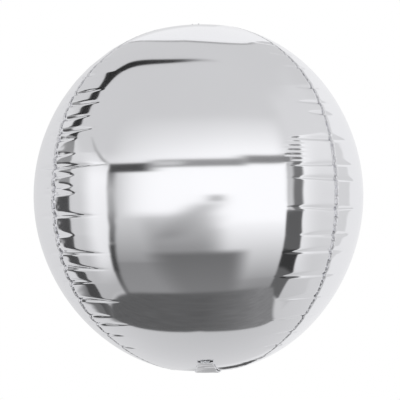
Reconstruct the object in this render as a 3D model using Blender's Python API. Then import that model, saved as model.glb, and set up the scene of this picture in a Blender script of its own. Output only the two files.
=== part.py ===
"""Sphere foil balloon, inflated: four foil panels welded edge to edge, a hanging tab on top and a flat tail below.

Metres, +Z up. The origin is the middle of the envelope. The front panel faces -Y and its seams run from the crown
to the neck on the two front diagonals. Each panel keeps a slightly flat face and swells towards its seams, where
the film has length to spare and draws into scallops. The film is thickened to a wall that can be handled as a solid.
"""

import bmesh
import bpy
from math import cos, exp, hypot, pi, radians, sin
from mathutils import Vector

# Envelope: half its height, half its width across two flat faces, and how much further out the seams stand,
# as a share of the half width, at the equator and less by the second figure at the poles.
HALF_HEIGHT = 0.200
HALF_WIDTH = 0.1795
SEAM_SWELL = 0.135
SWELL_LOSS_AT_POLES = 0.045

# The poles are drawn in where the seams meet, by a depth that fades over this radius.
CROWN_DIMPLE = 0.005
NECK_DIMPLE = 0.008
DIMPLE_RADIUS = 0.026

# Walls, and the gap that two touching pieces keep.
FILM_WALL = 0.0015
WELD_WALL = 0.0008
GAP = 0.0003

# Scallops along a seam: drawn in at each gather, full between, and fading into the panel over the reach.
SCALLOPS = 18
ROWS_PER_SCALLOP = 3
SCALLOP_DEPTH = 0.0040
SCALLOP_REACH = 0.030
ROWS = SCALLOPS * ROWS_PER_SCALLOP

# Columns of a panel, which crowd towards its seams as this power falls below one.
PANEL_COLUMNS = 10
COLUMN_CROWDING = 0.72

# How far the weld flange stands out along each seam.
FLANGE_STAND = 0.0040

# Openings that the four panel tips leave at the poles, and the gathered film that fills them.
CROWN_RADIUS = 0.0088
NECK_RADIUS = 0.0182
GATHER_THICKNESS = 0.0020

# Hanging tab: the welds' upstanding end at the crown.
TAB_WIDTH = 0.0150
TAB_TOP = 0.2085
TAB_WALL = 0.0012

# Tail: it leaves the neck downwards, turns forward and lies along the underside of the front panel.
TAIL_ROOT_WIDTH = 0.034
TAIL_TIP_WIDTH = 0.017
TAIL_DROP = 0.0020
TAIL_BEND_RADIUS = 0.0036
TAIL_BEND_STEPS = 6
TAIL_RUN = 0.088
TAIL_RUN_STEPS = 5
TAIL_RISE_AT_NECK = radians(-1.5)
TAIL_RISE_AT_TIP = radians(31.0)
TAIL_FILM = 0.0007
TAIL_WELD_WIDTH = 0.0026

# Valve: a flat sleeve of clear film between the tail's two films, showing a little past their tip.
VALVE_FILM = 0.0006
VALVE_WIDTH = 0.0100
VALVE_SHOWS = 0.003

# Bearings are from -Y, turning towards +X.
PANELS = (
    # name, bearing of its middle in degrees
    ("panel_front", 0.0),
    ("panel_right", 90.0),
    ("panel_back", 180.0),
    ("panel_left", 270.0),
)
SEAMS = (
    # name, bearing in degrees
    ("seam_front_right", 45.0),
    ("seam_back_right", 135.0),
    ("seam_back_left", 225.0),
    ("seam_front_left", 315.0),
)

FILM_LAYER = VALVE_FILM / 2 + GAP
TAIL_LAYERS = (
    # name, material, left edge and right edge as (share of the half width, metres added), lower and upper face
    # as distances from the tail's middle line, metres past the tip
    ("tail_upper_film", "silver_foil", (-1, 0.0), (1, 0.0), FILM_LAYER, FILM_LAYER + TAIL_FILM, 0.0),
    ("tail_lower_film", "silver_foil", (-1, 0.0), (1, 0.0), -FILM_LAYER - TAIL_FILM, -FILM_LAYER, 0.0),
    ("tail_weld_left", "welded_foil", (-1, 0.0), (-1, TAIL_WELD_WIDTH), -VALVE_FILM / 2, VALVE_FILM / 2, 0.0),
    ("tail_weld_right", "welded_foil", (1, -TAIL_WELD_WIDTH), (1, 0.0), -VALVE_FILM / 2, VALVE_FILM / 2, 0.0),
    ("valve_sleeve", "clear_film", (0, -VALVE_WIDTH / 2), (0, VALVE_WIDTH / 2), -VALVE_FILM / 2, VALVE_FILM / 2,
     VALVE_SHOWS),
)


def clear_scene():
    for obj in list(bpy.data.objects):
        bpy.data.objects.remove(obj, do_unlink=True)


def make_material(name, colour, roughness, metallic, alpha=1.0):
    material = bpy.data.materials.new(name)
    material.use_nodes = True
    shader = material.node_tree.nodes["Principled BSDF"]
    shader.inputs["Base Color"].default_value = (*colour, 1.0)
    shader.inputs["Roughness"].default_value = roughness
    shader.inputs["Metallic"].default_value = metallic
    shader.inputs["Alpha"].default_value = alpha
    return material


def add_object(name, shape, material, collection):
    """Turns a bmesh into a named object in the collection, with its faces pointing out."""
    bmesh.ops.recalc_face_normals(shape, faces=shape.faces[:])
    mesh = bpy.data.meshes.new(name)
    shape.to_mesh(mesh)
    shape.free()
    mesh.materials.append(material)
    mesh.shade_smooth()
    mesh.set_sharp_from_angle(angle=radians(35.0))
    obj = bpy.data.objects.new(name, mesh)
    collection.objects.link(obj)
    return obj


def thicken(shape, offset_of):
    """Gives a sheet its wall: a second skin, moved from the first by the offset at each point, and a closed rim."""
    grown = bmesh.ops.extrude_face_region(shape, geom=shape.faces[:])
    skin = [item for item in grown["geom"] if isinstance(item, bmesh.types.BMVert)]
    for vert in skin:
        vert.co += offset_of(vert.co)


def envelope_point(bearing, polar):
    """A point on the smooth envelope, by its bearing and its polar angle from the crown."""
    swell = SEAM_SWELL - SWELL_LOSS_AT_POLES * cos(polar) ** 2
    radius = HALF_WIDTH * sin(polar) * (1.0 + swell * sin(2.0 * bearing) ** 2)
    dimple = CROWN_DIMPLE if polar < pi / 2 else -NECK_DIMPLE
    sunk = dimple * exp(-((HALF_WIDTH * sin(polar) / DIMPLE_RADIUS) ** 2))
    return Vector((radius * sin(bearing), -radius * cos(bearing), HALF_HEIGHT * cos(polar) - sunk))


def row_polar(row):
    """Polar angle of a row of the panels and seams, from the crown opening to the neck opening."""
    first = CROWN_RADIUS / HALF_WIDTH
    last = pi - NECK_RADIUS / HALF_WIDTH
    return first + (last - first) * row / ROWS


def grid_row(vert, rows):
    """The row of a vertex of a grid that create_grid made with a size of 1, counted from its +Y edge."""
    return round((1.0 - vert.co.y) / 2 * rows)


def drawn_in(row):
    """How far the seam is drawn in on a row: at each gather, and less towards the poles."""
    return SCALLOP_DEPTH * sin(row_polar(row)) if row % ROWS_PER_SCALLOP == 0 else 0.0


def panel_point(centre, share, row):
    """A point on a panel's outer skin: share runs from -1 at one seam to 1 at the other."""
    point = envelope_point(centre + share * pi / 4, row_polar(row))
    from_seam = (1.0 - abs(share)) * hypot(point.x, point.y) * pi / 4
    fade = exp(-((from_seam / SCALLOP_REACH) ** 2))
    return point - point.normalized() * drawn_in(row) * fade


def make_panel(name, centre, material, collection):
    """A grid laid on the envelope between two seams, its edges held clear of the weld flanges."""
    shape = bmesh.new()
    bmesh.ops.create_grid(shape, x_segments=PANEL_COLUMNS, y_segments=ROWS, size=1.0)
    clearance = WELD_WALL / 2 + GAP
    for vert in shape.verts:
        side = 1 if vert.co.x > 0 else -1
        share = side * abs(vert.co.x) ** COLUMN_CROWDING
        at_seam = abs(vert.co.x) > 0.999
        vert.co = panel_point(centre, share, grid_row(vert, ROWS))
        if at_seam:
            edge_bearing = centre + side * pi / 4
            vert.co -= Vector((cos(edge_bearing), sin(edge_bearing), 0.0)) * clearance * side
    thicken(shape, lambda point: -point.normalized() * FILM_WALL)
    return add_object(name, shape, material, collection)


def make_seam(name, bearing, material, collection):
    """The weld flange: a thin strip on the seam's own plane, from inside the film to the flange's free edge."""
    shape = bmesh.new()
    bmesh.ops.create_grid(shape, x_segments=1, y_segments=ROWS, size=1.0)
    across = Vector((cos(bearing), sin(bearing), 0.0)) * WELD_WALL
    for vert in shape.verts:
        row = grid_row(vert, ROWS)
        outwards = FLANGE_STAND if vert.co.x > 0 else -FILM_WALL
        point = envelope_point(bearing, row_polar(row))
        vert.co = point + point.normalized() * (outwards - drawn_in(row)) - across / 2
    thicken(shape, lambda point: across)
    return add_object(name, shape, material, collection)


def make_gather(name, opening_radius, row, inwards, material, collection):
    """The gathered film that fills the opening at a pole: a thin disc, its outer face level with the panel tips."""
    level = envelope_point(0.0, row_polar(row)).z
    radius = opening_radius - 1.5 * GAP
    shape = bmesh.new()
    bmesh.ops.create_cone(
        shape, cap_ends=True, segments=32, radius1=radius, radius2=radius, depth=GATHER_THICKNESS
    )
    bmesh.ops.translate(shape, verts=shape.verts[:], vec=(0.0, 0.0, level + inwards * GATHER_THICKNESS / 2))
    return add_object(name, shape, material, collection)


def make_hanging_tab(material, collection):
    """The flat upstanding end of the welds, on the gather at the crown."""
    bottom = envelope_point(0.0, row_polar(0)).z + GAP
    shape = bmesh.new()
    bmesh.ops.create_cube(shape, size=1.0)
    bmesh.ops.scale(shape, verts=shape.verts[:], vec=(TAB_WIDTH, TAB_WALL, TAB_TOP - bottom))
    bmesh.ops.translate(shape, verts=shape.verts[:], vec=(0.0, 0.0, (TAB_TOP + bottom) / 2))
    return add_object("hanging_tab", shape, material, collection)


def tail_path(past_tip):
    """The tail's middle line from the neck, as rows of (y, z, direction, share of the way to the tip).

    The direction is an angle in the YZ plane. The line drops, turns forward through a bend, and runs on a curve
    that follows the underside of the front panel.
    """
    y = 0.0
    z = envelope_point(0.0, row_polar(ROWS)).z - GAP
    heading = -pi / 2
    bend_turn = pi / 2 + TAIL_RISE_AT_NECK
    run_turn = TAIL_RISE_AT_TIP - TAIL_RISE_AT_NECK
    moves = [(TAIL_DROP, 0.0)]
    moves += [(bend_turn * TAIL_BEND_RADIUS / TAIL_BEND_STEPS, bend_turn / TAIL_BEND_STEPS)] * TAIL_BEND_STEPS
    moves += [(TAIL_RUN / TAIL_RUN_STEPS, run_turn / TAIL_RUN_STEPS)] * TAIL_RUN_STEPS
    whole = sum(length for length, _ in moves)
    if past_tip:
        moves.append((past_tip, 0.0))
    path = [(y, z, heading, 0.0)]
    gone = 0.0
    for length, turn in moves:
        heading -= turn / 2
        y += cos(heading) * length
        z += sin(heading) * length
        heading -= turn / 2
        gone += length
        path.append((y, z, heading, min(gone / whole, 1.0)))
    return path


def make_tail_layer(name, left, right, lower, upper, past_tip, material, collection):
    """One layer of the tail: a strip along its path between two edges, with its two faces at their distances."""
    path = tail_path(past_tip)
    shape = bmesh.new()
    bmesh.ops.create_grid(shape, x_segments=1, y_segments=len(path) - 1, size=1.0)
    normals = {}
    for vert in shape.verts:
        y, z, heading, gone = path[grid_row(vert, len(path) - 1)]
        half_width = (TAIL_ROOT_WIDTH + (TAIL_TIP_WIDTH - TAIL_ROOT_WIDTH) * gone) / 2
        share, added = right if vert.co.x > 0 else left
        normal = Vector((0.0, sin(heading), -cos(heading)))
        vert.co = Vector((share * half_width + added, y, z)) + normal * lower
        normals[vert.co.to_tuple(6)] = normal
    thicken(shape, lambda point: normals[point.to_tuple(6)] * (upper - lower))
    return add_object(name, shape, material, collection)


def main():
    clear_scene()
    collection = bpy.data.collections.new("sphere_foil_balloon")
    bpy.context.scene.collection.children.link(collection)
    materials = {
        "silver_foil": make_material("silver_foil", (0.83, 0.83, 0.85), 0.08, 1.0),
        "welded_foil": make_material("welded_foil", (0.78, 0.78, 0.80), 0.22, 1.0),
        "clear_film": make_material("clear_film", (0.90, 0.92, 0.94), 0.15, 0.0, alpha=0.45),
    }
    for name, bearing in PANELS:
        make_panel(name, radians(bearing), materials["silver_foil"], collection)
    for name, bearing in SEAMS:
        make_seam(name, radians(bearing), materials["welded_foil"], collection)
    make_gather("crown_gather", CROWN_RADIUS, 0, -1, materials["silver_foil"], collection)
    make_hanging_tab(materials["welded_foil"], collection)
    make_gather("neck_gather", NECK_RADIUS, ROWS, 1, materials["silver_foil"], collection)
    for name, material, left, right, lower, upper, past_tip in TAIL_LAYERS:
        make_tail_layer(name, left, right, lower, upper, past_tip, materials[material], collection)


main()
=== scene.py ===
from math import cos, pi, radians, sin

import bmesh
import bpy
import numpy as np
from mathutils import Matrix, Vector


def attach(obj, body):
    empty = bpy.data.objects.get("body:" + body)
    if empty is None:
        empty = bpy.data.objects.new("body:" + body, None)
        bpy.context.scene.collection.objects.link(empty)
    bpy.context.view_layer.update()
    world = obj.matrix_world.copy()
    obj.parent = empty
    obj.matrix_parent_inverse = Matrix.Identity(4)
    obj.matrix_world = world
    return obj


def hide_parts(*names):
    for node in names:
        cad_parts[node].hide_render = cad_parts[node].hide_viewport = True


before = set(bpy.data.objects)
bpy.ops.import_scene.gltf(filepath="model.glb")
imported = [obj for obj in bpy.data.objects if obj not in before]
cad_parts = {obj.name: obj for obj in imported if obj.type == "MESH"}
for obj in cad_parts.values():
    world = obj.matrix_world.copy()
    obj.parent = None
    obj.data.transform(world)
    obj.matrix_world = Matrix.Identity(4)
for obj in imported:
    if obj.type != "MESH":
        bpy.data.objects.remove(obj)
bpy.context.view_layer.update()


# The balloon's shape.
# Four gores of metallised film, welded edge to edge and blown up tight. Each gore is nearly flat across
# its middle and bends sharply near its seams, and between two gores lies a facet that the weld gathers.
# Sizes are in metres.
HALF_HEIGHT = 0.200
HALF_WIDTH = 0.1795
# what the square and the fourth power of the height add to an ellipse's width
WAIST = (-0.0638, 0.1105)
# how far the seams stand out past the gores: at the waist, and what the same two powers add
SEAM_SWELL = (0.1254, 0.1895, -0.2144)
# how sharp the section's corners are at the waist, and how fast they get rounder towards the poles
SECTION_SHARPNESS = 20.0
SHARPNESS_LOSS = 1.44
SEAM_RIDGE = 0.06
GORE_BOW = 0.020
# the film is drawn in round the crown and the neck
CROWN_DIMPLE = 0.005
NECK_DIMPLE = 0.008
DIMPLE_RADIUS = 0.026
TINY = 1e-12


def section_ratio(bearing, polar):
    """Radius of the cross-section over the radius at a gore's middle: an octagon with rounded corners,
    rounder towards the poles."""
    from_middle = np.abs((bearing + pi / 4) % (pi / 2) - pi / 4)
    from_seam = pi / 4 - from_middle
    level = np.cos(polar) ** 2
    at_waist, by_square, by_fourth = SEAM_SWELL
    corner = 1.0 + at_waist + by_square * level + by_fourth * level**2
    gore = np.cos(from_middle) + GORE_BOW * np.sin(from_middle) ** 2
    facet = (np.cos(from_seam) + SEAM_RIDGE * np.sin(from_seam)) / corner
    next_gore = np.maximum(np.sin(from_middle), TINY)
    power = SECTION_SHARPNESS * np.exp(-SHARPNESS_LOSS * level)
    return (gore**power + facet**power + next_gore**power) ** (-1.0 / power)


def envelope(bearing, polar):
    """Points of the smooth envelope: bearing from -Y towards +X, polar angle from the crown."""
    level = np.cos(polar) ** 2
    middle = HALF_WIDTH * np.sin(polar) * (1.0 + WAIST[0] * level + WAIST[1] * level**2)
    radius = middle * section_ratio(bearing, polar)
    dimple = np.where(polar < pi / 2, CROWN_DIMPLE, -NECK_DIMPLE)
    sunk = dimple * np.exp(-((middle / DIMPLE_RADIUS) ** 2))
    height = HALF_HEIGHT * np.cos(polar) - sunk
    return np.stack([radius * np.sin(bearing), -radius * np.cos(bearing), height], axis=-1)


def unit(vectors):
    return vectors / np.maximum(np.linalg.norm(vectors, axis=-1, keepdims=True), TINY)


def envelope_normal(bearing, polar):
    """Outward normals of the smooth envelope."""
    step = 1e-4
    along = envelope(bearing, polar + step) - envelope(bearing, polar - step)
    across = envelope(bearing + step, polar) - envelope(bearing - step, polar)
    return unit(np.cross(across, -along))


# The gathers.
# A weld's edge is longer than the path it takes on the blown-up ball, so it folds: each fold is a sharp
# groove, deepest at the weld, that dies out in the gore. Small waves crumple the film between them.
MM = 0.001
GATHERS_FRONT_LEFT = (
    # millimetres above the balloon's middle, reach into the front gore in millimetres
    (160.5, 22), (142.4, 30), (125.4, 24), (103.9, 38), (91.4, 46), (76.4, 38), (62.6, 54),
    (54.3, 28), (38.7, 32), (26.5, 65), (18.3, 36), (6.3, 33), (0.1, 39), (-22.1, 64),
    (-42.3, 29), (-59.6, 61), (-74.7, 54), (-90.3, 32), (-108.4, 51), (-125.7, 31),
    (-134.7, 40), (-147.2, 28), (-161.5, 25),
)
GATHERS_FRONT_RIGHT = (
    (158.7, 24), (144.8, 26), (128.2, 27), (104.5, 25), (87.8, 40), (75.8, 26), (49.4, 56),
    (24.1, 56), (8.9, 59), (-20.9, 60), (-46.3, 46), (-62.1, 57), (-86.3, 58), (-108.7, 45),
    (-129.8, 36), (-147.3, 26), (-162.4, 20),
)
GATHERS_BACK_RIGHT = (
    (158.0, 28), (140.5, 36), (119.0, 44), (101.5, 38), (84.0, 58), (62.5, 42), (44.0, 60),
    (30.5, 35), (9.0, 55), (-11.5, 44), (-27.0, 62), (-47.5, 40), (-66.0, 57), (-85.5, 46),
    (-104.0, 50), (-121.5, 38), (-141.0, 34), (-160.0, 26),
)
GATHERS_BACK_LEFT = (
    (163.5, 26), (147.0, 34), (128.5, 40), (108.0, 36), (95.5, 52), (73.0, 44), (52.5, 61),
    (34.0, 40), (13.5, 58), (-4.0, 46), (-22.5, 64), (-43.0, 42), (-58.5, 36), (-80.0, 55),
    (-97.5, 44), (-119.0, 48), (-137.5, 33), (-156.0, 30), (-168.0, 22),
)
SEAMS = (
    # name, bearing in degrees, gathers, how steep they are, share of the reach on the other gore
    ("seam_front_right", 45.0, GATHERS_FRONT_RIGHT, 0.72, 0.65),
    ("seam_back_right", 135.0, GATHERS_BACK_RIGHT, 0.62, 1.00),
    ("seam_back_left", 225.0, GATHERS_BACK_LEFT, 0.70, 0.95),
    ("seam_front_left", 315.0, GATHERS_FRONT_LEFT, 0.92, 0.55),
)
# a groove's half width at the weld and at its tip, and the shares of it on its two sides
GATHER_WIDTH = 2.2 * MM
GATHER_TIP_WIDTH = 0.5 * MM
STEEP_FLANK = 0.65
EASY_FLANK = 1.35
# a groove stays as steep until it has faded to one part in this many
DEPTH_HOLD = 2.0
# the wide, shallow shoulders beside each groove
SHOULDER_DEPTH = 0.20 * MM
SHOULDER_WIDTH = 3.0 * MM
SHOULDER_FADE = 1.5
# short gathers are less steep than long ones
SHORT_STEEPNESS = 0.75
STEEPENING_REACH = 150.0
# what varies from gather to gather
GATHER_SEED = 7
OTHER_REACH_SPREAD = (0.80, 1.15)
STEEPNESS_SPREAD = (0.72, 1.00)
MOST_DRIFT = 0.05


def gather_list(bearing, gathers, steepness, other_share):
    """One seam's gathers: polar angle, steepness, reach on each side, and drift along the seam on each
    side. Side 0 is a gore's right edge, and side 1 the next gore's left edge, seen from outside."""
    rng = np.random.default_rng(int(bearing) + GATHER_SEED)
    front_side = 0 if bearing < 90 else 1
    listed = []
    for height, reach in gathers:
        polar = float(np.arccos(height * MM / HALF_HEIGHT))
        reaches = [0.0, 0.0]
        reaches[front_side] = reach * MM
        reaches[1 - front_side] = reach * MM * other_share * rng.uniform(*OTHER_REACH_SPREAD)
        steep = steepness * rng.uniform(*STEEPNESS_SPREAD) * (SHORT_STEEPNESS + reach / STEEPENING_REACH)
        drifts = rng.uniform(-MOST_DRIFT, MOST_DRIFT, 2)
        listed.append((polar, steep, reaches, drifts))
    return listed


GATHERS = {name: gather_list(*rest) for name, *rest in SEAMS}


def groove(polar, distance, side, gathers):
    """How far the film is drawn in by one seam's gathers, at a distance from the seam on one side."""
    drawn = np.zeros(np.broadcast(polar, distance).shape)
    for place, steepness, reaches, drifts in gathers:
        share = np.clip(distance / reaches[side], 0.0, 1.0)
        fade = np.cos(share * pi / 2)
        width = GATHER_TIP_WIDTH + (GATHER_WIDTH - GATHER_TIP_WIDTH) * fade
        off = (polar - place) * HALF_HEIGHT - drifts[side] * distance
        flank = width * np.where(off > 0, STEEP_FLANK, EASY_FLANK)
        sharp = np.exp(-((off / flank) ** 2)) * width * steepness * np.minimum(fade * DEPTH_HOLD, 1.0)
        soft = np.exp(-((off / SHOULDER_WIDTH) ** 2)) * SHOULDER_DEPTH * fade**SHOULDER_FADE
        drawn = drawn + sharp + soft
    return drawn * np.sqrt(np.sin(polar))


CRUMPLE_SEEDS = {name: int(bearing) for name, bearing, *_ in SEAMS}
CRUMPLE_HEIGHT = 0.035 * MM
CRUMPLE_REACH = 11.0 * MM
CRUMPLE_WAVES = 7
# lengths in millimetres, slant across the seam, and how each wave's length wanders
CRUMPLE_LENGTHS = (6.0, 17.0)
MOST_SLANT = 0.9
CRUMPLE_WANDER = 1.3
CRUMPLE_WANDER_LENGTH = 2.6


def crumple(polar, distance, seed):
    """The small irregular waves of the film beside a seam."""
    rng = np.random.default_rng(seed)
    waves = np.zeros(np.broadcast(polar, distance).shape)
    for _ in range(CRUMPLE_WAVES):
        length = rng.uniform(*CRUMPLE_LENGTHS) * MM
        slant = rng.uniform(-MOST_SLANT, MOST_SLANT)
        start = rng.uniform(0, 2 * pi)
        along = polar * HALF_HEIGHT + slant * distance
        wander = CRUMPLE_WANDER * np.sin(along / (CRUMPLE_WANDER_LENGTH * length) + start)
        waves = waves + np.sin(along * 2 * pi / length + start + wander)
    return waves * CRUMPLE_HEIGHT * np.exp(-((distance / CRUMPLE_REACH) ** 2)) * np.sin(polar)


PLEATS_HEIGHT = 35.0 * MM
PLEATS_FROM_SEAM = 46.0 * MM
PLEATS_HALF_HEIGHT = 14.0 * MM
PLEATS_HALF_WIDTH = 8.5 * MM
PLEAT_LENGTH = 4.4 * MM
PLEAT_DEPTH = 0.105 * MM


def pleats(polar, from_right):
    """The short comb of pleats in the front gore, beside its right seam."""
    along = (pi / 2 - polar) * HALF_HEIGHT
    fade = np.exp(-(((along - PLEATS_HEIGHT) / PLEATS_HALF_HEIGHT) ** 4))
    fade = fade * np.exp(-(((from_right - PLEATS_FROM_SEAM) / PLEATS_HALF_WIDTH) ** 4))
    return PLEAT_DEPTH * fade * np.sin(along * 2 * pi / PLEAT_LENGTH)


# The gores.
# The four pieces of film, modelled 0.3 mm thick in place of the real film's 0.03 mm, and open at each
# pole. Each is a grid of rows from crown to neck and of columns that lie closer together by the seams.
BODY = "root"
PANELS = (
    # name, bearing of its middle, seam at its left, seam at its right, as seen from outside
    ("panel_front", 0.0, "seam_front_left", "seam_front_right"),
    ("panel_right", 90.0, "seam_front_right", "seam_back_right"),
    ("panel_back", 180.0, "seam_back_right", "seam_back_left"),
    ("panel_left", 270.0, "seam_back_left", "seam_front_left"),
)
PANEL_ROWS = 780
PANEL_COLUMNS = 56
COLUMN_CROWDING = 0.72
# beside a seam the film is straight from gather to gather out to this share of the reach, and then
# eases into the smooth envelope over one more reach
STRAIGHT_REACH = 38.0 * MM
STRAIGHT_START = 0.7
TIP_STEPS = 24
FILM_WALL = 0.3 * MM
CROWN_OPENING = 8.0 * MM
NECK_OPENING = 17.0 * MM
FIRST_POLAR = CROWN_OPENING / HALF_WIDTH
LAST_POLAR = pi - NECK_OPENING / HALF_WIDTH
WELD_WALL = 0.35 * MM
SEAM_CLEARANCE = WELD_WALL / 2 + 0.05 * MM
FOIL_COLOUR = (0.90, 0.90, 0.915)
FOIL_ROUGHNESS = 0.075


def straightened(bearing, polar, seam):
    """The envelope beside a seam, where the film runs straight from each gather to the next."""
    places = sorted(gather[0] for gather in GATHERS[seam])
    to_first = np.linspace(0.0, places[0], TIP_STEPS)
    from_last = np.linspace(places[-1], pi, TIP_STEPS)
    places = np.concatenate([to_first, places[1:-1], from_last])
    knots = envelope(*np.broadcast_arrays(bearing[None, :], places[:, None]))
    rows = polar[:, 0]
    columns = [
        np.stack([np.interp(rows, places, knots[:, column, axis]) for axis in range(3)], axis=-1)
        for column in range(len(bearing))
    ]
    return np.stack(columns, axis=1)


def panel_points(centre, left, right, polar, share):
    """Points of a gore's outer skin; polar and share are grids, share from -1 at its left seam to 1."""
    bearing = radians(centre) + share * pi / 4
    smooth = envelope(bearing, polar)
    steps = np.linalg.norm(np.diff(smooth, axis=1), axis=-1)
    from_left = np.concatenate([np.zeros((len(smooth), 1)), np.cumsum(steps, axis=1)], axis=1)
    from_right = from_left[:, -1:] - from_left
    points = smooth
    for seam, distance in ((left, from_left), (right, from_right)):
        gone = np.clip(distance / (STRAIGHT_REACH * np.sin(polar)) - STRAIGHT_START, 0.0, 1.0)
        straight = (1.0 - gone**2 * (3.0 - 2.0 * gone))[..., None]
        points = points + (straightened(bearing[0], polar, seam) - smooth) * straight
    drawn = groove(polar, from_left, 1, GATHERS[left]) + groove(polar, from_right, 0, GATHERS[right])
    drawn = drawn + crumple(polar, from_left, CRUMPLE_SEEDS[left])
    drawn = drawn + crumple(polar, from_right, CRUMPLE_SEEDS[right])
    if centre == 0.0:
        drawn = drawn + pleats(polar, from_right)
    return points - envelope_normal(bearing, polar) * drawn[..., None]


def laid_grid(points):
    """A grid from create_grid, laid on rows by columns of points; its faces look outwards."""
    rows, columns = points.shape[0] - 1, points.shape[1] - 1
    shape = bmesh.new()
    bmesh.ops.create_grid(shape, x_segments=columns, y_segments=rows, size=1.0)
    for vert in shape.verts:
        row = round((1.0 - vert.co.y) / 2 * rows)
        column = round((1.0 + vert.co.x) / 2 * columns)
        vert.co = points[row, column]
    return shape


def make_object(name, shape, material):
    """A bmesh as an object in the scene, smooth shaded."""
    mesh = bpy.data.meshes.new(name)
    shape.to_mesh(mesh)
    shape.free()
    mesh.materials.append(material)
    mesh.shade_smooth()
    obj = bpy.data.objects.new(name, mesh)
    bpy.context.scene.collection.objects.link(obj)
    return obj


def solidify(obj, wall, offset=-1.0):
    """A wall of this thickness: inside the modelled skin, or half on each side where offset is 0."""
    modifier = obj.modifiers.new("wall", "SOLIDIFY")
    modifier.thickness = wall
    modifier.offset = offset


def new_material(name):
    """A material with its nodes, and its Principled shader."""
    material = bpy.data.materials.new(name)
    material.use_nodes = True
    return material, material.node_tree.nodes["Principled BSDF"]


TONE_SCALE = 6.0
TONE_DETAIL = 3.0
DARKER_TONE = 0.97
TONE_RANGE = (0.35, 0.65)
HAZE_RANGE = (0.3, 0.7)
HAZE_SPREAD = (0.8, 1.25)


def foil_material(name, colour, roughness):
    """Metallised film: a mirror with a faint haze, whose tone and haze vary a little over the balloon."""
    material, shader = new_material(name)
    nodes, links = material.node_tree.nodes, material.node_tree.links
    shader.inputs["Metallic"].default_value = 1.0
    place = nodes.new("ShaderNodeTexCoord")
    tone = nodes.new("ShaderNodeTexNoise")
    tone.inputs["Scale"].default_value = TONE_SCALE
    tone.inputs["Detail"].default_value = TONE_DETAIL
    links.new(place.outputs["Object"], tone.inputs["Vector"])
    colours = nodes.new("ShaderNodeValToRGB")
    darker, full = colours.color_ramp.elements
    darker.position = TONE_RANGE[0]
    darker.color = (*[part * DARKER_TONE for part in colour], 1.0)
    full.position = TONE_RANGE[1]
    full.color = (*colour, 1.0)
    links.new(tone.outputs["Fac"], colours.inputs["Fac"])
    links.new(colours.outputs["Color"], shader.inputs["Base Color"])
    haze = nodes.new("ShaderNodeMapRange")
    haze.inputs["From Min"].default_value = HAZE_RANGE[0]
    haze.inputs["From Max"].default_value = HAZE_RANGE[1]
    haze.inputs["To Min"].default_value = roughness * HAZE_SPREAD[0]
    haze.inputs["To Max"].default_value = roughness * HAZE_SPREAD[1]
    links.new(tone.outputs["Fac"], haze.inputs["Value"])
    links.new(haze.outputs["Result"], shader.inputs["Roughness"])
    return material


silver_foil = foil_material("silver_foil", FOIL_COLOUR, FOIL_ROUGHNESS)
panel_polar = np.linspace(FIRST_POLAR, LAST_POLAR, PANEL_ROWS + 1)
even = np.linspace(-1.0, 1.0, PANEL_COLUMNS + 1)
panel_share = np.sign(even) * np.abs(even) ** COLUMN_CROWDING
polar, share = np.meshgrid(panel_polar, panel_share, indexing="ij")
for name, centre, left, right in PANELS:
    points = panel_points(centre, left, right, polar, share)
    for column, side in ((0, 1), (-1, -1)):
        edge = radians(centre) - side * pi / 4
        points[:, column] += np.array([cos(edge), sin(edge), 0.0]) * SEAM_CLEARANCE * side
    piece = make_object(name.replace("panel", "foil"), laid_grid(points), silver_foil)
    solidify(piece, FILM_WALL)
    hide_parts(name)
    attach(piece, BODY)


# The welds.
# Where two gores meet, their two films are welded into a thin flange that stands out from the seam,
# ruffles, and is drawn in with the film at each gather. It lies down towards the crown and the neck.
WELD_COLOUR = (0.88, 0.88, 0.895)
WELD_ROUGHNESS = 0.18
WELD_STAND = 1.7 * MM
WELD_STAND_AT_POLES = 0.05 * MM
WELD_FADE = 6
WELD_ROOT = 0.6 * MM
WELD_COLUMNS = 4
RUFFLE_SEED = 50
RUFFLES = (
    # height of the wave, length of the wave
    (0.22 * MM, 23.0 * MM),
    (0.40 * MM, 7.4 * MM),
    (0.22 * MM, 4.3 * MM),
)
RUFFLE_WANDER = 1.6
RUFFLE_WANDER_LENGTH = 3.7
# the flange's edge is cut unevenly, in a long and a short wave
LONG_WAVE_SHARE = 0.16
LONG_WAVE = 31.0 * MM
SHORT_WAVE_SHARE = 0.12
SHORT_WAVE = 11.7 * MM

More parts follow.
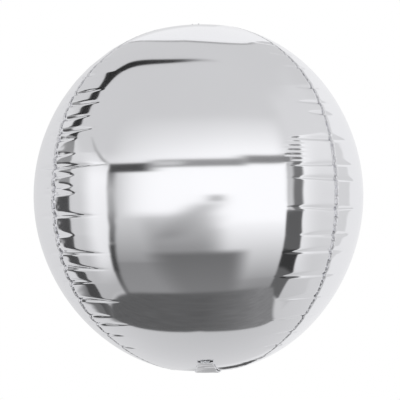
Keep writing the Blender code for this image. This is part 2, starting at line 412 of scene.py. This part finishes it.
welded_foil = foil_material("welded_foil", WELD_COLOUR, WELD_ROUGHNESS)
along = panel_polar * HALF_HEIGHT
at_seam = np.zeros_like(panel_polar)
for name, bearing, *_ in SEAMS:
    rng = np.random.default_rng(int(bearing) + RUFFLE_SEED)
    angle = np.full_like(panel_polar, radians(bearing))
    drawn = groove(panel_polar, at_seam, 0, GATHERS[name])
    drawn = drawn + crumple(panel_polar, at_seam, CRUMPLE_SEEDS[name])
    normal = unit(envelope(angle, panel_polar) * np.array([1.0, 1.0, (HALF_WIDTH / HALF_HEIGHT) ** 2]))
    line = straightened(angle[:1], panel_polar[:, None], name)[:, 0] - normal * drawn[:, None]
    sideways = np.array([cos(radians(bearing)), sin(radians(bearing)), 0.0])
    ruffle = np.zeros_like(along)
    for height, length in RUFFLES:
        wander = np.sin(along / (length * RUFFLE_WANDER_LENGTH) + rng.uniform(0, 2 * pi)) * RUFFLE_WANDER
        ruffle += height * np.sin(along * 2 * pi / length + rng.uniform(0, 2 * pi) + wander)
    stand = WELD_STAND_AT_POLES + (WELD_STAND - WELD_STAND_AT_POLES) * np.sin(panel_polar) ** WELD_FADE
    uneven = 1.0 + LONG_WAVE_SHARE * np.sin(along * 2 * pi / LONG_WAVE + bearing)
    stand = stand * (uneven + SHORT_WAVE_SHARE * np.sin(along * 2 * pi / SHORT_WAVE))
    columns = []
    for column in range(WELD_COLUMNS + 1):
        out = column / WELD_COLUMNS
        outwards = stand * out - WELD_ROOT * (1.0 - out)
        columns.append(line + normal * outwards[:, None] + sideways * (ruffle * out)[:, None])
    piece = make_object(name.replace("seam", "weld"), laid_grid(np.stack(columns, axis=1)), welded_foil)
    solidify(piece, WELD_WALL, offset=0.0)
    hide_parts(name)
    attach(piece, BODY)


# The gathers at the poles.
# At the crown and at the neck the four gores run out, and their tips are folded together into the flat
# root of the hanging tab or of the tail: two rings of folded film.
RING_POINTS = 192
RING_STEPS = 12
RING_WALL = 0.25 * MM
# how unevenly the folds lie, how far short of the root they end, and how full they are on the way
FOLDS_WANDER = 1.7
FOLDS_WANDERINGS = 3
FOLDS_REACH = 1.15
FOLDS_SWELL = 0.7
MERGE_DISTANCE = 0.00001
CROWN_LEVEL = HALF_HEIGHT - CROWN_DIMPLE + 0.6 * MM
NECK_LEVEL = -0.1945


def pole_gather(name, polar, root_half_length, root_half_wall, root_level, folds, fold_height):
    """A folded ring from the gores' opening to the flat root at the pole."""
    around = np.linspace(0.0, 2 * pi, RING_POINTS + 1)
    rim = envelope(around, np.full_like(around, polar))
    root_x = root_half_length * np.sin(around)
    root_y = -root_half_wall * np.cos(around)
    root = np.stack([root_x, root_y, np.full_like(around, root_level)], axis=-1)
    fold = np.sin(around * folds + FOLDS_WANDER * np.sin(around * FOLDS_WANDERINGS))
    rings = []
    for step in range(RING_STEPS + 1):
        share = step / RING_STEPS
        drop = (1 - share) ** 2
        swell = np.sin(pi * min(share * FOLDS_REACH, 1.0)) ** FOLDS_SWELL
        ring = rim + (root - rim) * share
        ring[:, 2] = rim[:, 2] * drop + root_level * (1 - drop)
        ring[:, 2] += fold_height * (fold * swell)
        rings.append(ring)
    points = np.stack(rings, axis=0)
    if polar > pi / 2:
        points = points[:, ::-1]
    shape = laid_grid(points)
    bmesh.ops.remove_doubles(shape, verts=shape.verts[:], dist=MERGE_DISTANCE)
    return make_object(name, shape, silver_foil)


for name, node, polar, root_half_length, root_half_wall, root_level, folds, fold_height in (
    ("gather_at_crown", "crown_gather", FIRST_POLAR, 7.2 * MM, 0.4 * MM, CROWN_LEVEL, 22, 0.35 * MM),
    ("gather_at_neck", "neck_gather", LAST_POLAR, 16.6 * MM, 1.1 * MM, NECK_LEVEL, 30, -0.55 * MM),
):
    piece = pole_gather(name, polar, root_half_length, root_half_wall, root_level, folds, fold_height)
    solidify(piece, RING_WALL)
    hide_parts(node)
    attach(piece, BODY)


# The hanging tab.
# The welded end of the gores at the crown: a small strip that stands up, bowed and crumpled, with its
# top edge cut unevenly. The balloon is hung by it.
TAB_COLUMNS = 40
TAB_ROWS = 10
TAB_HALF_WIDTH = 7.3 * MM
TAB_WALL = 0.3 * MM
TAB_TOP = 0.2046
TAB_ROOT = CROWN_LEVEL - 0.8 * MM
# each wave across the tab: its height, radians from the middle to the edge, and start; the crumple's
# start turns on the way down
TAB_CUT = (0.9 * MM, 5.0, 0.6)
TAB_NICKS = (0.6 * MM, 13.0, 0.0)
TAB_BOW = (0.9 * MM, 4.2, 0.4)
TAB_CRUMPLE = (0.25 * MM, 17.0)
TAB_CRUMPLE_TURN = 3.0


def wave(across, height, turns, start):
    return height * np.sin(across * turns + start)


tab_across = np.linspace(-1.0, 1.0, TAB_COLUMNS + 1)
tab_top = TAB_TOP + wave(tab_across, *TAB_CUT) + wave(tab_across, *TAB_NICKS)
tab_rows = []
for row in range(TAB_ROWS + 1):
    down = row / TAB_ROWS
    height = tab_top * (1 - down) + TAB_ROOT * down
    bow = wave(tab_across, *TAB_BOW) * (1 - down)
    bow = bow + wave(tab_across, *TAB_CRUMPLE, down * TAB_CRUMPLE_TURN)
    tab_rows.append(np.stack([tab_across * TAB_HALF_WIDTH, bow, height], axis=-1))
tab = make_object("tab_at_crown", laid_grid(np.stack(tab_rows, axis=0)), welded_foil)
solidify(tab, TAB_WALL, offset=0.0)
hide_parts("hanging_tab")
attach(tab, BODY)


# The tail.
# The front and back gores run on below the neck as the filling tail: two films, welded down both sides,
# with the clear valve sleeve between them. It is folded forward under the front gore, and crumpled.
TAIL_ROOT_WIDTH = 0.034
TAIL_TIP_WIDTH = 0.017
TAIL_BEND_RADIUS = 2.3 * MM
TAIL_CLEARANCE = 1.0 * MM
TAIL_RUN = 0.084
TAIL_DRIFT = 5.5 * MM
TAIL_STEP = 0.4 * MM
BEND_POINTS = 16
UNDERSIDE_POINTS = 400
TAIL_FILM_LEVEL = 0.36 * MM
TAIL_FILM_WALL = 0.2 * MM
TAIL_BULGE = 0.25 * MM
TAIL_WELD_WIDTH = 2.6 * MM
TAIL_WELD_WALL = 0.5 * MM
VALVE_WIDTH = 10.0 * MM
VALVE_WALL = 0.15 * MM
VALVE_SHOWS = 3.0 * MM
EDGE_WAVES = (
    # share of the width, length of the wave
    (0.035, 21.0 * MM),
    (0.020, 8.3 * MM),
)
TAIL_CRUMPLES = (
    # height, length along the tail, slant across it, start
    (0.22 * MM, 12.5 * MM, 1.1, 0.0),
    (0.09 * MM, 7.4 * MM, -1.6, 1.0),
)
# the crumples and the drift to one side set in over one part in so many of the run, and the bulge is
# over a little before its end
CRUMPLE_ONSET = 8.0
DRIFT_ONSET = 4.0
BULGE_END = 1.1


def tail_line(past_tip):
    """The tail's middle line, down from the neck, round a tight bend and forward along the balloon's
    underside: distances along it, y, z, the heading in the YZ plane, and the shares of the run and of
    the whole that lie behind each point."""
    turn = np.linspace(0.0, pi / 2, BEND_POINTS)
    bend_y = -TAIL_BEND_RADIUS * (1.0 - np.cos(turn))
    bend_z = NECK_LEVEL - TAIL_BEND_RADIUS * np.sin(turn)
    polar = np.linspace(LAST_POLAR, pi / 2, UNDERSIDE_POINTS)
    forward = np.zeros_like(polar)
    under = envelope(forward, polar) + envelope_normal(forward, polar) * TAIL_CLEARANCE
    under = under[under[:, 2].argmin() :]
    line = np.stack([np.append(bend_y, under[:, 1]), np.append(bend_z, under[:, 2])], axis=1)
    behind = np.append(0.0, np.cumsum(np.linalg.norm(np.diff(line, axis=0), axis=1)))
    bend = TAIL_BEND_RADIUS * pi / 2
    whole = bend + TAIL_RUN
    gone = np.linspace(0.0, whole + past_tip, int((whole + past_tip) / TAIL_STEP))
    y = np.interp(gone, behind, line[:, 0])
    z = np.interp(gone, behind, line[:, 1])
    heading = np.unwrap(np.arctan2(np.gradient(z), np.gradient(y)))
    in_run = np.clip((gone - bend) / TAIL_RUN, 0.0, 1.0)
    return gone, y, z, heading, in_run, np.clip(gone / whole, 0.0, 1.0)


def tail_layer(name, edges, level, wall, columns, past_tip, bulge, material):
    """One layer of the tail between two edges, each a share of the half width with metres added."""
    gone, y, z, heading, in_run, share = (values[:, None] for values in tail_line(past_tip))
    half = (TAIL_ROOT_WIDTH + (TAIL_TIP_WIDTH - TAIL_ROOT_WIDTH) * share) / 2
    half = half * (1.0 + sum(part * np.sin(gone * 2 * pi / length) for part, length in EDGE_WAVES))
    left, right = ((of_half * half + added)[:, 0] for of_half, added in edges)
    across = np.linspace(left, right, columns + 1, axis=1)
    phase = across / half
    ripple = sum(
        height * np.sin(gone * 2 * pi / length + slant * phase + start)
        for height, length, slant, start in TAIL_CRUMPLES
    )
    ripple = ripple * np.clip(in_run * CRUMPLE_ONSET, 0.0, 1.0)
    puff = bulge * (1.0 - phase**2) * np.sin(pi * np.clip(in_run * BULGE_END, 0.0, 1.0))
    lift = level + ripple + puff
    across = across + TAIL_DRIFT * np.minimum(in_run * DRIFT_ONSET, 1.0)
    points = np.stack([across, y + np.sin(heading) * lift, z - np.cos(heading) * lift], axis=-1)
    piece = make_object(name, laid_grid(points), material)
    solidify(piece, wall, offset=0.0)
    return piece


CLOUD_SCALE = 120.0
CLEAR_HAZE = (0.10, 0.28)
CLEAR_COLOUR = (0.90, 0.92, 0.94, 1.0)
CLEAR_ALPHA = 0.45


def clear_material(name):
    """Clear film: thin, soft plastic that still catches the light."""
    material, shader = new_material(name)
    nodes, links = material.node_tree.nodes, material.node_tree.links
    place = nodes.new("ShaderNodeTexCoord")
    cloud = nodes.new("ShaderNodeTexNoise")
    cloud.inputs["Scale"].default_value = CLOUD_SCALE
    links.new(place.outputs["Object"], cloud.inputs["Vector"])
    haze = nodes.new("ShaderNodeMapRange")
    haze.inputs["To Min"].default_value = CLEAR_HAZE[0]
    haze.inputs["To Max"].default_value = CLEAR_HAZE[1]
    links.new(cloud.outputs["Fac"], haze.inputs["Value"])
    links.new(haze.outputs["Result"], shader.inputs["Roughness"])
    shader.inputs["Base Color"].default_value = CLEAR_COLOUR
    shader.inputs["Alpha"].default_value = CLEAR_ALPHA
    return material


clear_film = clear_material("clear_film")
TAIL_FINISHES = {"silver_foil": silver_foil, "welded_foil": welded_foil, "clear_film": clear_film}
whole_width = (-1, 0.0), (1, 0.0)
left_strip = (-1, 0.0), (-1, TAIL_WELD_WIDTH)
right_strip = (1, -TAIL_WELD_WIDTH), (1, 0.0)
sleeve_width = (0, -VALVE_WIDTH / 2), (0, VALVE_WIDTH / 2)
for name, node, slot, edges, level, wall, columns, past_tip, bulge in (
    # one layer a row; columns is how finely it is divided across, and past_tip how far it sticks out
    ("tail_film_above", "tail_upper_film", "silver_foil",
     whole_width, TAIL_FILM_LEVEL, TAIL_FILM_WALL, 24, 0.0, 0.0),
    ("tail_film_below", "tail_lower_film", "silver_foil",
     whole_width, -TAIL_FILM_LEVEL, TAIL_FILM_WALL, 24, 0.0, -TAIL_BULGE),
    ("tail_edge_left", "tail_weld_left", "welded_foil", left_strip, 0.0, TAIL_WELD_WALL, 4, 0.0, 0.0),
    ("tail_edge_right", "tail_weld_right", "welded_foil", right_strip, 0.0, TAIL_WELD_WALL, 4, 0.0, 0.0),
    ("valve_in_tail", "valve_sleeve", "clear_film", sleeve_width, 0.0, VALVE_WALL, 8, VALVE_SHOWS, 0.0),
):
    piece = tail_layer(name, edges, level, wall, columns, past_tip, bulge, TAIL_FINISHES[slot])
    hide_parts(node)
    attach(piece, BODY)


# The floor.
# A plain pale floor, well under the balloon, which hangs in the air. The foil doesn't mirror it, since
# the room that the foil mirrors is painted on the world.
FLOOR_LEVEL = -1.3
FLOOR_RADIUS = 1.6
FLOOR_SEGMENTS = 128
FLOOR_COLOUR = (0.9, 0.9, 0.9, 1.0)
FLOOR_ROUGHNESS = 0.8
FLOOR_GLOW = 0.5
disc = bmesh.new()
bmesh.ops.create_circle(disc, cap_ends=True, segments=FLOOR_SEGMENTS, radius=FLOOR_RADIUS)
bmesh.ops.translate(disc, verts=disc.verts[:], vec=(0.0, 0.0, FLOOR_LEVEL))
pale_floor, floor_shader = new_material("pale_floor")
floor_shader.inputs["Base Color"].default_value = FLOOR_COLOUR
floor_shader.inputs["Roughness"].default_value = FLOOR_ROUGHNESS
floor_shader.inputs["Emission Color"].default_value = (1.0, 1.0, 1.0, 1.0)
floor_shader.inputs["Emission Strength"].default_value = FLOOR_GLOW
floor = make_object("floor", disc, pale_floor)
floor.visible_glossy = False


# The studio.
# The balloon hangs in a white room, painted on the world for the foil to mirror: a bright window in
# front, pale walls, a dark corner, a dark floor and a white backdrop. The camera itself sees plain white.
FOIL_MIRRORS = 0.90


def light(level):
    """The light that the foil shows at this brightness, on a picture's scale of 0 to 255: the standard
    curve from a picture's values to light, and what the foil loses."""
    return ((level / 255.0 + 0.055) / 1.055) ** 2.4 / FOIL_MIRRORS


world = bpy.data.worlds.new("studio")
world.use_nodes = True
bpy.context.scene.world = world
sky_nodes, sky_links = world.node_tree.nodes, world.node_tree.links


def feed(socket, value):
    """A node's input takes a number or another node's output."""
    if isinstance(value, (int, float)):
        socket.default_value = value
    else:
        sky_links.new(value, socket)


def calculate(operation, first, second=0.0):
    node = sky_nodes.new("ShaderNodeMath")
    node.operation = operation
    for socket, value in zip(node.inputs, (first, second)):
        feed(socket, value)
    return node.outputs["Value"]


def plus(first, second):
    return calculate("ADD", first, second)


def minus(first, second):
    return calculate("SUBTRACT", first, second)


def times(first, second):
    return calculate("MULTIPLY", first, second)


def over(first, second):
    return calculate("DIVIDE", first, second)


def ease(value, low, high, start=0.0, end=1.0, smooth=True):
    """start where value is below low, end where it is above high, and a ramp between."""
    node = sky_nodes.new("ShaderNodeMapRange")
    node.interpolation_type = "SMOOTHSTEP" if smooth else "LINEAR"
    sockets = ("Value", "From Min", "From Max", "To Min", "To Max")
    for name, given in zip(sockets, (value, low, high, start, end)):
        feed(node.inputs[name], given)
    return node.outputs["Result"]


def between(value, low, high, soft):
    """1 between low and high, 0 outside, with soft edges."""
    rise = ease(value, low - soft / 2, low + soft / 2)
    fall = ease(value, high - soft / 2, high + soft / 2, 1.0, 0.0)
    return times(rise, fall)


def paint(under, mask, level):
    """The light under, covered with another level where the mask is 1."""
    node = sky_nodes.new("ShaderNodeMix")
    feed(node.inputs["Factor"], mask)
    feed(node.inputs["A"], under)
    feed(node.inputs["B"], level)
    return node.outputs["Result"]


# the direction that is looked in: its parts, its bearing from -Y towards +X and its rise, in degrees
direction = sky_nodes.new("ShaderNodeTexCoord").outputs["Generated"]
split = sky_nodes.new("ShaderNodeSeparateXYZ")
sky_links.new(direction, split.inputs["Vector"])
look_x, look_y, look_z = (split.outputs[axis] for axis in "XYZ")
DEGREES = 180.0 / pi
bearing_at = times(calculate("ARCTAN2", look_x, times(look_y, -1.0)), DEGREES)
rise_at = times(calculate("ARCSINE", look_z), DEGREES)


def patch(under, bearings, rises, softness, levels, bearing=bearing_at):
    """A rectangle of light in the room: its bearings and rises in degrees, its soft edges, its light at
    the bottom and at the top. Its sides lean where bearing does."""
    mask = times(between(bearing, *bearings, softness[0]), between(rise_at, *rises, softness[1]))
    level = ease(rise_at, *rises, light(levels[0]), light(levels[1]), smooth=False)
    return paint(under, mask, level)


# bearings that lean, in degrees for each degree of rise: the foot of the window's frame, the soft shape
# in the window, and the short soft line above the frame's corner
FOOT_TOP = 19.0
FOOT_LEAN = 0.34
SHAPE_LEAN = 0.25
CORNER_RISE = 20.0
CORNER_LEAN = 2.2
below_foot = calculate("MINIMUM", plus(rise_at, FOOT_TOP), 0.0)
foot_bearing = minus(bearing_at, times(below_foot, FOOT_LEAN))
shape_bearing = minus(bearing_at, times(rise_at, SHAPE_LEAN))
corner_bearing = plus(bearing_at, times(minus(rise_at, CORNER_RISE), CORNER_LEAN))

ROOM_LEVEL = 204
room = light(ROOM_LEVEL)
for bearings, rises, softness, levels, *leaning in (
    # bearings, rises, softness of the sides and of the other edges, light at the bottom and at the top
    # the ceiling's glow over the window
    ((-13, 33), (18, 50), (34, 14), (262, 206)),
    ((36, 108), (24, 62), (26, 14), (215, 212)),
    # the lower part of the room, behind
    ((-195, 195), (-92, -37), (1, 6), (191, 212)),
    # the pale backdrop
    ((-195, -92), (-37, 36), (8, 8), (213, 219)),
    ((90, 112), (-39, 38), (8, 8), (208, 213)),
    ((112, 195), (-39, 40), (2.5, 8), (228, 233)),
    ((171, 183), (-34, -23), (4, 3), (84, 84)),
    ((-195, -175), (-55, -22), (3, 4), (170, 170)),
    ((-112, -86), (-62, -38), (10, 10), (104, 118)),
    # the left wall, brighter towards the window
    ((-86.5, -32), (-58, 25), (3, 4), (176, 218)),
    ((-58, -10), (-44, 20), (30, 20), (226, 249)),
    # the right wall, brighter towards the window
    ((58, 92), (-64, 29), (6, 4), (192, 230)),
    ((20, 69), (-44, 24), (30, 14), (226, 250)),
    # the window, greyer at its left
    ((-24, 33.5), (-60, 16.5), (2.5, 2), (205, 205)),
    ((-13.5, 33.5), (-14, 18), (14, 2), (254, 254)),
    # under the window: dark at the left, pale at the right, and darkest low in the middle
    ((-24, 14), (-48, -12), (3.5, 8), (126, 208), foot_bearing),
    ((-24, 14), (-62, -40.5), (3.5, 1), (144, 136), foot_bearing),
    ((-1, 33.5), (-21, -6), (5, 4), (254, 254)),
    ((-1, 33.5), (-58, -17), (5, 6), (138, 250)),
    ((-1, 33.5), (-62, -52.5), (5, 1), (134, 152)),
    ((-10, -1.5), (-36, -15), (4, 9), (136, 186)),
    ((-10.5, 4.5), (-60, -35), (7, 4), (124, 107)),
    # the dark corner to the right of the window
    ((33, 59), (-11, 23), (4, 4), (200, 188)),
    ((43, 59), (-11, 17), (7, 3), (112, 116)),
    ((31.5, 58), (-64, -10.5), (4, 3), (98, 90)),
    ((32, 57.5), (-46, -34.5), (4, 2.5), (56, 56)),
    # the window's frame: the line over its corner, its left side, its foot and its head
    ((-31, -25), (20, 33), (5, 5), (158, 186), corner_bearing),
    ((-27, -20.5), (-14, 6), (5, 5), (150, 178)),
    ((-27, -20.5), (4, 16), (5, 4), (176, 124)),
    ((-27.6, -21.8), (-30, -11), (4, 6), (74, 144), foot_bearing),
    ((-28.0, -21.6), (-46, -29.5), (4, 1.5), (66, 66), foot_bearing),
    ((-27.4, -22), (-62, -45.5), (4, 1.5), (124, 72), foot_bearing),
    ((-26, -8), (14.8, 20.4), (4, 1.7), (70, 74)),
    ((-8.5, 4), (17.4, 22), (4, 1.7), (132, 150)),
    ((3, 59), (18.8, 24), (6, 1.7), (124, 134)),
    ((-8, -4.5), (18.5, 21), (1.4, 1.2), (200, 200)),
    # a soft leaning shape in the window, and a small mark over it
    ((-1.9, 1.3), (-26, -5), (3, 6), (140, 200), shape_bearing),
    ((-1.8, -0.2), (-4.5, -0.5), (1.5, 2), (146, 166)),
):
    room = patch(room, bearings, rises, softness, levels, *leaning)

# the backdrop's top edge overhead: a bowed grey line with white beyond it, at places given for each
# metre of height over the balloon
TOP_EDGE_BACK = 0.385
TOP_EDGE_BOW = 5.2
TOP_EDGE_SOFT = 0.01
TOP_LINE = (-0.045, 0.0)
TOP_LINE_SOFT = 0.014
LOWEST_OVERHEAD = 0.05
OVERHEAD_RISES = (30.0, 38.0)
BEYOND_LEVEL = 238
TOP_LINE_LEVEL = 158
height_over = calculate("MAXIMUM", look_z, LOWEST_OVERHEAD)
ceiling_x = over(look_x, height_over)
ceiling_y = over(look_y, height_over)
bowed = times(times(ceiling_x, ceiling_x), TOP_EDGE_BOW)
past_edge = minus(ceiling_y, plus(bowed, TOP_EDGE_BACK))
overhead = ease(rise_at, *OVERHEAD_RISES)
beyond = times(ease(past_edge, -TOP_EDGE_SOFT, TOP_EDGE_SOFT), overhead)
room = paint(room, beyond, light(BEYOND_LEVEL))
top_line = times(between(past_edge, *TOP_LINE, TOP_LINE_SOFT), overhead)
room = paint(room, top_line, light(TOP_LINE_LEVEL))

# the backdrop's left edge: a dark band that stands at the left, sweeps over the balloon, and thins and
# dies out towards the right. Of a pair of ranges, the first is where it is looked at, by how far right,
# and the second is the value at its two ends: how far back the band lies, or how much thinner it is.
BAND_GOES_BACK = ((-0.66, -0.42), (-0.012, 0.130))
BAND_COMES_FORWARD = ((-0.34, -0.06), (0.0, 0.160))
BAND_HALF_WIDTH = 0.087
BAND_THINS = ((-0.45, -0.03), (0.0, 0.068))
BAND_SOFT = 0.012
BAND_END = (-0.12, 0.04)
BAND_FOOT = (-62.0, -50.0)
BAND_GREY = 146
BAND_LOW = ((0.04, 0.14), 72)
BAND_HIGH = ((0.38, 0.47), 44)
swept = minus(
    ease(look_x, *BAND_GOES_BACK[0], *BAND_GOES_BACK[1]),
    ease(look_x, *BAND_COMES_FORWARD[0], *BAND_COMES_FORWARD[1]),
)
band_half = minus(BAND_HALF_WIDTH, ease(look_x, *BAND_THINS[0], *BAND_THINS[1], smooth=False))
band_off = minus(calculate("ABSOLUTE", minus(look_y, swept)), band_half)
band_mask = times(ease(band_off, -BAND_SOFT, BAND_SOFT, 1.0, 0.0), ease(look_x, *BAND_END, 1.0, 0.0))
band_mask = times(band_mask, ease(rise_at, *BAND_FOOT))
band_low = ease(look_z, *BAND_LOW[0], light(BAND_LOW[1]), light(BAND_GREY))
band_high = ease(look_z, *BAND_HIGH[0], light(BAND_GREY), light(BAND_HIGH[1]))
room = paint(room, band_mask, calculate("MINIMUM", band_low, band_high))

# the room's floor: a dark round mat in front, streaked, and pale behind; its places are given for each
# metre of depth under the balloon
MAT_RADIUS = 0.605
MAT_SOFT = 0.03
MAT_MIDDLE = -0.05
MAT_BACK_SLOPE = 0.45
MAT_BACK = (-0.06, -0.03)
MAT_SIDE = (0.34, 0.40)
MAT_ACROSS = (-0.04, 0.20)
MAT_LEVELS = (93, 127)
SHALLOWEST = 0.02
STREAKS = (2.2, 14.0)
STREAK_NOISE = (0.3, 0.7)
STREAK_LIGHT = (0.84, 1.18)
LOOKING_DOWN = (-0.3, -0.2)
depth = calculate("MAXIMUM", times(look_z, -1.0), SHALLOWEST)
floor_x = over(look_x, depth)
floor_y = over(look_y, depth)
floor_square = plus(times(floor_x, floor_x), times(floor_y, floor_y))
past_mat = minus(calculate("SQRT", floor_square), MAT_RADIUS)
back_edge = times(calculate("ABSOLUTE", minus(floor_x, MAT_MIDDLE)), MAT_BACK_SLOPE)
mat_mask = ease(past_mat, -MAT_SOFT, MAT_SOFT, 1.0, 0.0)
mat_mask = times(mat_mask, ease(minus(floor_y, back_edge), *MAT_BACK, 1.0, 0.0))
mat_mask = times(mat_mask, ease(floor_x, *MAT_SIDE, 1.0, 0.0))
mat_mask = times(mat_mask, ease(look_z, *LOOKING_DOWN, 1.0, 0.0))
streaks_at = sky_nodes.new("ShaderNodeCombineXYZ")
feed(streaks_at.inputs["X"], times(floor_x, STREAKS[0]))
feed(streaks_at.inputs["Y"], times(floor_y, STREAKS[1]))
streaks = sky_nodes.new("ShaderNodeTexNoise")
sky_links.new(streaks_at.outputs["Vector"], streaks.inputs["Vector"])
mat_light = ease(floor_x, *MAT_ACROSS, light(MAT_LEVELS[0]), light(MAT_LEVELS[1]), smooth=False)
mat_light = times(mat_light, ease(streaks.outputs["Fac"], *STREAK_NOISE, *STREAK_LIGHT, smooth=False))
room = paint(room, mat_mask, mat_light)

# the foil mirrors the room, slightly bluish, and the camera sees plain white
ROOM_TINT = (("Red", 0.995), ("Green", 0.997), ("Blue", 1.010))
tint = sky_nodes.new("ShaderNodeCombineColor")
for part, share in ROOM_TINT:
    feed(tint.inputs[part], times(room, share))
mirrored = sky_nodes["Background"]
sky_links.new(tint.outputs["Color"], mirrored.inputs["Color"])
plain = sky_nodes.new("ShaderNodeBackground")
plain.inputs["Color"].default_value = (1.0, 1.0, 1.0, 1.0)
rays = sky_nodes.new("ShaderNodeLightPath")
shown = sky_nodes.new("ShaderNodeMixShader")
sky_links.new(rays.outputs["Is Camera Ray"], shown.inputs["Fac"])
sky_links.new(mirrored.outputs["Background"], shown.inputs[1])
sky_links.new(plain.outputs["Background"], shown.inputs[2])
sky_links.new(shown.outputs["Shader"], sky_nodes["World Output"].inputs["Surface"])
bpy.context.scene.view_settings.view_transform = "Standard"


# The camera.
# It stands a metre off, a little to the right and a little low, rolled by one degree, as the photograph
# shows. The picture is 400 pixels wide, and the balloon's middle lies a pixel or two off the picture's.
CAMERA_DISTANCE = 1.0
CAMERA_AZIMUTH = radians(2.90)
CAMERA_ELEVATION = radians(-2.79)
CAMERA_ROLL = radians(1.04)
FOCAL_PIXELS = 857.0
IMAGE_WIDTH = 400.0
SENSOR_WIDTH = 36.0
MIDDLE_RIGHT = 0.98
MIDDLE_UP = 2.07
back = Vector(
    (
        sin(CAMERA_AZIMUTH) * cos(CAMERA_ELEVATION),
        -cos(CAMERA_AZIMUTH) * cos(CAMERA_ELEVATION),
        sin(CAMERA_ELEVATION),
    )
)
level_way = Vector((0.0, 0.0, 1.0)).cross(back).normalized()
upright = back.cross(level_way)
right_way = level_way * cos(CAMERA_ROLL) - upright * sin(CAMERA_ROLL)
up_way = upright * cos(CAMERA_ROLL) + level_way * sin(CAMERA_ROLL)
lens = bpy.data.cameras.new("camera")
lens.sensor_width = SENSOR_WIDTH
lens.lens = FOCAL_PIXELS / IMAGE_WIDTH * SENSOR_WIDTH
lens.shift_x = -MIDDLE_RIGHT / IMAGE_WIDTH
lens.shift_y = -MIDDLE_UP / IMAGE_WIDTH
camera = bpy.data.objects.new("camera", lens)
bpy.context.scene.collection.objects.link(camera)
turned = Matrix((right_way, up_way, back)).transposed().to_4x4()
camera.matrix_world = Matrix.Translation(back * CAMERA_DISTANCE) @ turned
bpy.context.scene.camera = camera
